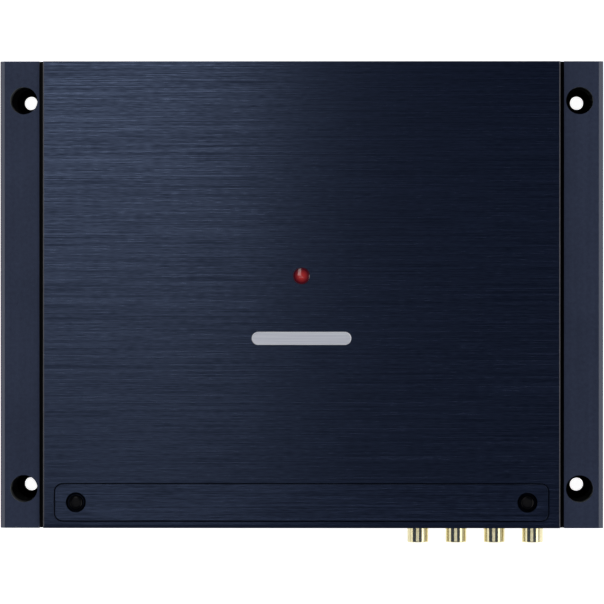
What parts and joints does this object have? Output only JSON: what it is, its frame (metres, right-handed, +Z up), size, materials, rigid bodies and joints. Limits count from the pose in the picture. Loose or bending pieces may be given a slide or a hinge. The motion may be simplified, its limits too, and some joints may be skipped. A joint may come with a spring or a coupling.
{
  "type": "car audio power amplifier",
  "caption": "Flat rectangular car audio power amplifier: brushed panel between side rails with mounting holes, phono jacks, screw terminals, fuses and a covered control bay.",
  "frame": {"origin": "centre of the four mounting holes, on the plane the side rails stand on", "axes": "+X to the right across the rails, +Y from the input end (phono jacks) to the output end (terminals), +Z up out of the top panel"},
  "size_m": [0.23, 0.1847, 0.0569],
  "materials": {
    "case_anodised": "matte dark blue anodised",
    "rail_anodised": "matte dark blue anodised, with a bright machined chamfer",
    "panel_brushed": "brushed along X and anodised dark blue",
    "black_steel": "fine textured black powder coat",
    "black_screws": "black oxide, oiled",
    "zinc_steel": "zinc plated",
    "bright_metal": "polished",
    "red_lens": "clear red moulding",
    "black_plastic": "fine moulded texture",
    "knob_plastic": "satin black",
    "lever_plastic": "satin light grey",
    "circuit_board": "green solder mask",
    "pot_blue": "blue moulding",
    "gold_plate": "pale gold plated",
    "jack_plastic": "white and red mouldings by turns",
    "nickel_plate": "nickel plated",
    "fuse_plastic": "translucent amber moulding",
    "device_epoxy": "moulded epoxy with a tinned tab",
    "pad_grey": "silicone sheet",
    "ferrite": "sintered ferrite",
    "copper_wire": "enamelled copper",
    "capacitor_sleeve": "shrunk sleeve"
  },
  "bodies": {
    "amplifier": {"heatsink_chassis": "case_anodised", "side_rail_left": "rail_anodised", "side_rail_right": "rail_anodised", "rail_screws": "zinc_steel", "top_panel": "panel_brushed", "bottom_cover": "black_steel", "input_end_panel": "black_steel", "output_end_panel": "black_steel", "case_screws": "black_screws", "badge_plate": "bright_metal", "indicator_lens": "red_lens", "control_bezel": "black_plastic", "control_board": "circuit_board", "pot_bodies": "pot_blue", "switch_bodies": "black_plastic", "main_board": "circuit_board", "board_pillars": "zinc_steel", "inner_screws": "zinc_steel", "rca_block": "black_plastic", "rca_barrels": "gold_plate", "rca_insulators": "jack_plastic", "rca_centre_contacts": "gold_plate", "speaker_input_socket": "black_plastic", "remote_socket": "black_plastic", "socket_pins": "gold_plate", "power_terminal_block": "black_plastic", "power_terminal_contacts": "nickel_plate", "speaker_terminal_block": "black_plastic", "speaker_terminal_contacts": "nickel_plate", "fuse_holder": "black_plastic", "fuse_contacts": "nickel_plate", "power_transistors": "device_epoxy", "transistor_clamps": "zinc_steel", "thermal_pads": "pad_grey", "transformer_core": "ferrite", "transformer_winding": "copper_wire", "output_inductors": "ferrite", "capacitors": "capacitor_sleeve"},
    "cover": {"control_cover": "panel_brushed", "cover_screws": "black_screws"},
    "gain_knob_front": {"gain_knob_front": "knob_plastic"},
    "frequency_knob_front": {"frequency_knob_front": "knob_plastic"},
    "gain_knob_rear": {"gain_knob_rear": "knob_plastic"},
    "frequency_knob_rear": {"frequency_knob_rear": "knob_plastic"},
    "filter_switch_front": {"filter_switch_front": "lever_plastic"},
    "filter_switch_rear": {"filter_switch_rear": "lever_plastic"},
    "input_mode_switch": {"input_mode_switch": "lever_plastic"},
    "fuse_1": {"fuse_1": "fuse_plastic"},
    "fuse_2": {"fuse_2": "fuse_plastic"},
    "power_terminal_screw_1": {"power_terminal_screw_1": "nickel_plate"},
    "power_terminal_screw_2": {"power_terminal_screw_2": "nickel_plate"},
    "power_terminal_screw_3": {"power_terminal_screw_3": "nickel_plate"},
    "speaker_terminal_screw_1": {"speaker_terminal_screw_1": "nickel_plate"},
    "speaker_terminal_screw_2": {"speaker_terminal_screw_2": "nickel_plate"},
    "speaker_terminal_screw_3": {"speaker_terminal_screw_3": "nickel_plate"},
    "speaker_terminal_screw_4": {"speaker_terminal_screw_4": "nickel_plate"},
    "speaker_terminal_screw_5": {"speaker_terminal_screw_5": "nickel_plate"},
    "speaker_terminal_screw_6": {"speaker_terminal_screw_6": "nickel_plate"},
    "speaker_terminal_screw_7": {"speaker_terminal_screw_7": "nickel_plate"},
    "speaker_terminal_screw_8": {"speaker_terminal_screw_8": "nickel_plate"}
  },
  "joints": [
    {"name": "cover_lift", "type": "slide", "parent": "amplifier", "child": "cover", "axis": [0, 0, 1], "range_m": [0, 0.03]},
    {"name": "gain_knob_front_turn", "type": "hinge", "parent": "amplifier", "child": "gain_knob_front", "pos_m": [-0.066, -0.0782, 0.05], "axis": [0, 0, -1], "range_deg": [-150, 150]},
    {"name": "frequency_knob_front_turn", "type": "hinge", "parent": "amplifier", "child": "frequency_knob_front", "pos_m": [-0.026, -0.0782, 0.05], "axis": [0, 0, -1], "range_deg": [-150, 150]},
    {"name": "gain_knob_rear_turn", "type": "hinge", "parent": "amplifier", "child": "gain_knob_rear", "pos_m": [0.014, -0.0782, 0.05], "axis": [0, 0, -1], "range_deg": [-150, 150]},
    {"name": "frequency_knob_rear_turn", "type": "hinge", "parent": "amplifier", "child": "frequency_knob_rear", "pos_m": [0.054, -0.0782, 0.05], "axis": [0, 0, -1], "range_deg": [-150, 150]},
    {"name": "filter_switch_front_slide", "type": "slide", "parent": "amplifier", "child": "filter_switch_front", "axis": [1, 0, 0], "range_m": [0, 0.004]},
    {"name": "filter_switch_rear_slide", "type": "slide", "parent": "amplifier", "child": "filter_switch_rear", "axis": [1, 0, 0], "range_m": [0, 0.004]},
    {"name": "input_mode_switch_slide", "type": "slide", "parent": "amplifier", "child": "input_mode_switch", "axis": [1, 0, 0], "range_m": [0, 0.004]},
    {"name": "fuse_1_pull", "type": "slide", "parent": "amplifier", "child": "fuse_1", "axis": [0, 1, 0], "range_m": [0, 0.022]},
    {"name": "fuse_2_pull", "type": "slide", "parent": "amplifier", "child": "fuse_2", "axis": [0, 1, 0], "range_m": [0, 0.022]},
    {"name": "power_terminal_screw_1_open", "type": "slide", "parent": "amplifier", "child": "power_terminal_screw_1", "axis": [0, 1, 0], "range_m": [0, 0.003]},
    {"name": "power_terminal_screw_2_open", "type": "slide", "parent": "amplifier", "child": "power_terminal_screw_2", "axis": [0, 1, 0], "range_m": [0, 0.003]},
    {"name": "power_terminal_screw_3_open", "type": "slide", "parent": "amplifier", "child": "power_terminal_screw_3", "axis": [0, 1, 0], "range_m": [0, 0.003]},
    {"name": "speaker_terminal_screw_1_open", "type": "slide", "parent": "amplifier", "child": "speaker_terminal_screw_1", "axis": [0, 1, 0], "range_m": [0, 0.003]},
    {"name": "speaker_terminal_screw_2_open", "type": "slide", "parent": "amplifier", "child": "speaker_terminal_screw_2", "axis": [0, 1, 0], "range_m": [0, 0.003]},
    {"name": "speaker_terminal_screw_3_open", "type": "slide", "parent": "amplifier", "child": "speaker_terminal_screw_3", "axis": [0, 1, 0], "range_m": [0, 0.003]},
    {"name": "speaker_terminal_screw_4_open", "type": "slide", "parent": "amplifier", "child": "speaker_terminal_screw_4", "axis": [0, 1, 0], "range_m": [0, 0.003]},
    {"name": "speaker_terminal_screw_5_open", "type": "slide", "parent": "amplifier", "child": "speaker_terminal_screw_5", "axis": [0, 1, 0], "range_m": [0, 0.003]},
    {"name": "speaker_terminal_screw_6_open", "type": "slide", "parent": "amplifier", "child": "speaker_terminal_screw_6", "axis": [0, 1, 0], "range_m": [0, 0.003]},
    {"name": "speaker_terminal_screw_7_open", "type": "slide", "parent": "amplifier", "child": "speaker_terminal_screw_7", "axis": [0, 1, 0], "range_m": [0, 0.003]},
    {"name": "speaker_terminal_screw_8_open", "type": "slide", "parent": "amplifier", "child": "speaker_terminal_screw_8", "axis": [0, 1, 0], "range_m": [0, 0.003]}
  ]
}
